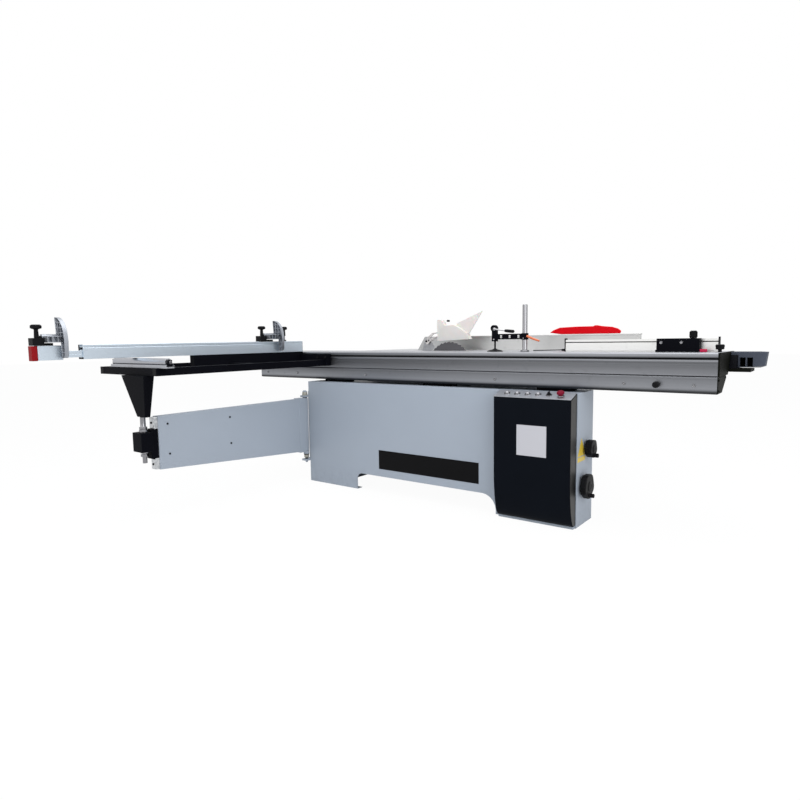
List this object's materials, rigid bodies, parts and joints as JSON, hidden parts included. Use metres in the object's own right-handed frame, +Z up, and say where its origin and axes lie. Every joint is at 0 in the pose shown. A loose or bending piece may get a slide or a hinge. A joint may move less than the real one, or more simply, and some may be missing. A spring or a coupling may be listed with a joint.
{
  "type": "sliding-table panel saw",
  "caption": "Panel saw: cabinet with tilting saw unit, sliding table on a beam, outrigger with telescoping swing arm, crosscut and rip fences.",
  "frame": {"origin": "on the floor, at the bottom centre of the saw's bounding box", "axes": "+Y is the feed direction along the blade, +X points from the sliding table to the rip fence, +Z up"},
  "size_m": [3.2002, 3.1536, 1.139],
  "materials": {
    "powder_coat": "satin light blue-grey powder coat",
    "black_coat": "satin black powder coat",
    "aluminium": "satin anodised extrusion",
    "pale_aluminium": "pale anodised or cast aluminium",
    "cast_iron": "ground or painted cast iron",
    "machined_steel": "machined or zinc-plated steel",
    "chrome": "chromed steel",
    "saw_steel": "ground saw steel",
    "black_plastic": "black moulded plastic",
    "grey_plastic": "slate-grey moulded plastic",
    "guard_plastic": "milky translucent plastic",
    "red_plastic": "red plastic",
    "motor_paint": "blue-grey motor enamel",
    "belt_rubber": "black drive-belt rubber"
  },
  "bodies": {
    "base": {"cabinet": "powder_coat", "control_cover": "black_coat", "control_panel": "powder_coat", "saw_table": "cast_iron", "side_table": "powder_coat", "rip_fence_rail": "chrome", "carrier_beam": "aluminium", "trunnion_front": "cast_iron", "trunnion_rear": "cast_iron", "arm_bracket": "powder_coat"},
    "sliding_table": {"sliding_table": "aluminium", "table_end_plate": "black_coat", "push_handle": "grey_plastic", "outrigger_frame": "black_coat", "outrigger_post": "black_coat"},
    "roller_cage": {"roller_cage": "machined_steel"},
    "slot_knob": {"table_slot_knob": "black_plastic"},
    "clamp_column": {"clamp_column": "chrome"},
    "clamp_arm": {"clamp_arm": "black_coat"},
    "clamp_lever": {"clamp_lever": "black_plastic"},
    "clamp_pad": {"clamp_pad": "black_plastic"},
    "edge_knob": {"edge_fence_knob": "black_plastic"},
    "edge_fence": {"edge_fence": "aluminium", "edge_fence_block": "black_coat"},
    "beam_lock": {"beam_lock_knob": "black_plastic"},
    "raise_wheel": {"raise_handwheel": "black_plastic"},
    "tilt_wheel": {"tilt_handwheel": "black_plastic"},
    "rip_fence": {"rip_fence": "aluminium", "rip_fence_head": "cast_iron"},
    "rip_fence_lever": {"rip_fence_lever": "black_plastic"},
    "tilt_unit": {"tilt_cradle": "cast_iron"},
    "raise_unit": {"arbor_housing": "cast_iron", "saw_motor": "motor_paint", "drive_belt": "belt_rubber", "riving_knife": "machined_steel"},
    "arbor": {"saw_arbor": "machined_steel", "saw_blade": "saw_steel"},
    "motor_rotor": {"motor_pulley": "machined_steel"},
    "blade_guard": {"guard_hood": "guard_plastic", "guard_links": "guard_plastic"},
    "scoring_unit": {"scoring_motor": "motor_paint"},
    "scoring_spindle": {"scoring_blade": "saw_steel"},
    "swing_arm": {"swing_arm": "powder_coat"},
    "arm_extension": {"arm_inner_tube": "machined_steel", "arm_shaft": "chrome"},
    "outrigger_roller": {"outrigger_roller": "aluminium"},
    "crosscut_fence": {"crosscut_fence": "pale_aluminium"},
    "fence_extension": {"fence_extension": "pale_aluminium", "outer_stop_block": "black_plastic"},
    "outer_stop_knob": {"outer_stop_knob": "black_plastic"},
    "outer_stop_arm": {"outer_stop_arm": "pale_aluminium"},
    "inner_stop_block": {"inner_stop_block": "black_plastic"},
    "inner_stop_knob": {"inner_stop_knob": "black_plastic"},
    "inner_stop_arm": {"inner_stop_arm": "pale_aluminium"},
    "start_button": {"start_button": "chrome"},
    "stop_button": {"stop_button": "chrome"},
    "scoring_start_button": {"scoring_start_button": "chrome"},
    "scoring_stop_button": {"scoring_stop_button": "chrome"},
    "selector_switch": {"selector_switch": "black_plastic"},
    "emergency_stop": {"emergency_stop": "red_plastic"}
  },
  "joints": [
    {"name": "table_slide", "type": "slide", "parent": "base", "child": "sliding_table", "axis": [0, 1, 0], "range_m": [-1.3, 1.25]},
    {"name": "roller_cage_slide", "type": "slide", "parent": "base", "child": "roller_cage", "axis": [0, 1, 0], "range_m": [-0.65, 0.625]},
    {"name": "arm_swing", "type": "hinge", "parent": "base", "child": "swing_arm", "pos_m": [0.05485, 1.0708, 0.4], "axis": [0, 0, 1], "range_deg": [-46.5, 48.5]},
    {"name": "arm_telescope", "type": "slide", "parent": "swing_arm", "child": "arm_extension", "axis": [-1, 0, 0], "range_m": [0, 0.7]},
    {"name": "outrigger_roller_spin", "type": "hinge", "parent": "sliding_table", "child": "outrigger_roller", "pos_m": [-1.09015, 1.1368, 0.86], "axis": [0, 1, 0], "continuous": true},
    {"name": "slot_knob_turn", "type": "hinge", "parent": "sliding_table", "child": "slot_knob", "pos_m": [0.27985, -1.4032, 0.88], "axis": [0, 0, 1], "range_deg": [-90, 90]},
    {"name": "clamp_swivel", "type": "hinge", "parent": "sliding_table", "child": "clamp_column", "pos_m": [0.27985, -0.4392, 0.88], "axis": [0, 0, 1], "range_deg": [-90, 90]},
    {"name": "clamp_height", "type": "slide", "parent": "clamp_column", "child": "clamp_arm", "axis": [0, 0, 1], "range_m": [0, 0.12]},
    {"name": "clamp_lever_throw", "type": "hinge", "parent": "clamp_arm", "child": "clamp_lever", "pos_m": [0.27985, -0.2552, 1.008], "axis": [1, 0, 0], "range_deg": [-80, 0]},
    {"name": "clamp_pad_press", "type": "slide", "parent": "clamp_arm", "child": "clamp_pad", "axis": [0, 0, 1], "range_m": [0, 0.0125]},
    {"name": "edge_fence_slide", "type": "slide", "parent": "sliding_table", "child": "edge_knob", "axis": [0, 1, 0], "range_m": [-0.04, 0.1]},
    {"name": "edge_fence_pivot", "type": "hinge", "parent": "edge_knob", "child": "edge_fence", "pos_m": [0.27985, -1.2902, 0.88], "axis": [0, 0, 1], "range_deg": [0, 45]},
    {"name": "beam_lock_turn", "type": "hinge", "parent": "base", "child": "beam_lock", "pos_m": [0.11485, -1.1752, 0.735], "axis": [1, 0, 0], "range_deg": [-90, 90]},
    {"name": "raise_handwheel_turn", "type": "hinge", "parent": "base", "child": "raise_wheel", "pos_m": [0.18785, -0.8232, 0.393], "axis": [0, 1, 0], "range_deg": [-360, 360]},
    {"name": "tilt_handwheel_turn", "type": "hinge", "parent": "base", "child": "tilt_wheel", "pos_m": [0.14785, -0.8232, 0.206], "axis": [0, 1, 0], "range_deg": [0, 1080]},
    {"name": "blade_tilt", "type": "hinge", "parent": "base", "child": "tilt_unit", "pos_m": [0.50985, 0.1968, 0.88], "axis": [0, 1, 0], "range_deg": [0, 45]},
    {"name": "blade_raise", "type": "slide", "parent": "tilt_unit", "child": "raise_unit", "axis": [0, 0, 1], "range_m": [-0.02, 0.02]},
    {"name": "blade_spin", "type": "hinge", "parent": "raise_unit", "child": "arbor", "pos_m": [0.50985, 0.1968, 0.763], "axis": [1, 0, 0], "continuous": true},
    {"name": "motor_spin", "type": "hinge", "parent": "raise_unit", "child": "motor_rotor", "pos_m": [0.50985, 0.1968, 0.5], "axis": [1, 0, 0], "continuous": true},
    {"name": "guard_swing", "type": "hinge", "parent": "raise_unit", "child": "blade_guard", "pos_m": [0.50985, 0.3618, 0.935], "axis": [1, 0, 0], "range_deg": [-60, 0]},
    {"name": "scoring_raise", "type": "slide", "parent": "tilt_unit", "child": "scoring_unit", "axis": [0, 0, 1], "range_m": [0, 0.008]},
    {"name": "scoring_spin", "type": "hinge", "parent": "scoring_unit", "child": "scoring_spindle", "pos_m": [0.50985, -0.0652, 0.815], "axis": [1, 0, 0], "continuous": true},
    {"name": "rip_fence_slide", "type": "slide", "parent": "base", "child": "rip_fence", "axis": [1, 0, 0], "range_m": [-0.1, 0.75]},
    {"name": "rip_fence_lever_lift", "type": "hinge", "parent": "rip_fence", "child": "rip_fence_lever", "pos_m": [0.7335, -0.6885, 0.855], "axis": [1, 0, 0], "range_deg": [-60, 0]},
    {"name": "crosscut_fence_swing", "type": "hinge", "parent": "sliding_table", "child": "crosscut_fence", "pos_m": [0.00985, 1.1488, 0.883], "axis": [0, 0, 1], "range_deg": [-45, 45]},
    {"name": "extension_slide", "type": "slide", "parent": "crosscut_fence", "child": "fence_extension", "axis": [-1, 0, 0], "range_m": [-0.08, 0.6]},
    {"name": "outer_stop_knob_turn", "type": "hinge", "parent": "fence_extension", "child": "outer_stop_knob", "pos_m": [-1.57015, 1.1428, 0.952], "axis": [0, 0, 1], "range_deg": [-90, 90]},
    {"name": "outer_stop_flip", "type": "hinge", "parent": "fence_extension", "child": "outer_stop_arm", "pos_m": [-1.45515, 1.1588, 0.992], "axis": [1, 0, 0], "range_deg": [-100, 0]},
    {"name": "inner_stop_slide", "type": "slide", "parent": "crosscut_fence", "child": "inner_stop_block", "axis": [1, 0, 0], "range_m": [-0.95, 0.02]},
    {"name": "inner_stop_knob_turn", "type": "hinge", "parent": "inner_stop_block", "child": "inner_stop_knob", "pos_m": [-0.23815, 1.1428, 0.955], "axis": [0, 0, 1], "range_deg": [-90, 90]},
    {"name": "inner_stop_flip", "type": "hinge", "parent": "inner_stop_block", "child": "inner_stop_arm", "pos_m": [-0.10015, 1.1588, 0.995], "axis": [1, 0, 0], "range_deg": [-100, 0]},
    {"name": "start_button_press", "type": "slide", "parent": "base", "child": "start_button", "axis": [0.3272, 0, -0.945], "range_m": [0, 0.004], "stiffness_N_per_m": 400, "springref_m": -0.004},
    {"name": "stop_button_press", "type": "slide", "parent": "base", "child": "stop_button", "axis": [0.3272, 0, -0.945], "range_m": [0, 0.004], "stiffness_N_per_m": 400, "springref_m": -0.004},
    {"name": "scoring_start_button_press", "type": "slide", "parent": "base", "child": "scoring_start_button", "axis": [0.3272, 0, -0.945], "range_m": [0, 0.004], "stiffness_N_per_m": 400, "springref_m": -0.004},
    {"name": "scoring_stop_button_press", "type": "slide", "parent": "base", "child": "scoring_stop_button", "axis": [0.3272, 0, -0.945], "range_m": [0, 0.004], "stiffness_N_per_m": 400, "springref_m": -0.004},
    {"name": "selector_switch_turn", "type": "hinge", "parent": "base", "child": "selector_switch", "pos_m": [0.02565, -0.6912, 0.66809], "axis": [-0.3272, 0, 0.945], "range_deg": [-45, 45]},
    {"name": "emergency_stop_press", "type": "slide", "parent": "base", "child": "emergency_stop", "axis": [0.3272, 0, -0.945], "range_m": [0, 0.005]}
  ],
  "couplings": [
    {"joint": "roller_cage_slide", "follows": "table_slide", "ratio": 0.5},
    {"joint": "arm_swing", "follows": "table_slide", "rad_per_m": -0.6447},
    {"joint": "clamp_pad_press", "follows": "clamp_lever_throw", "m_per_rad": -0.0086},
    {"joint": "tilt_handwheel_turn", "follows": "blade_tilt", "ratio": 24},
    {"joint": "raise_handwheel_turn", "follows": "blade_raise", "rad_per_m": 314.16},
    {"joint": "motor_spin", "follows": "blade_spin", "ratio": 0.85}
  ]
}
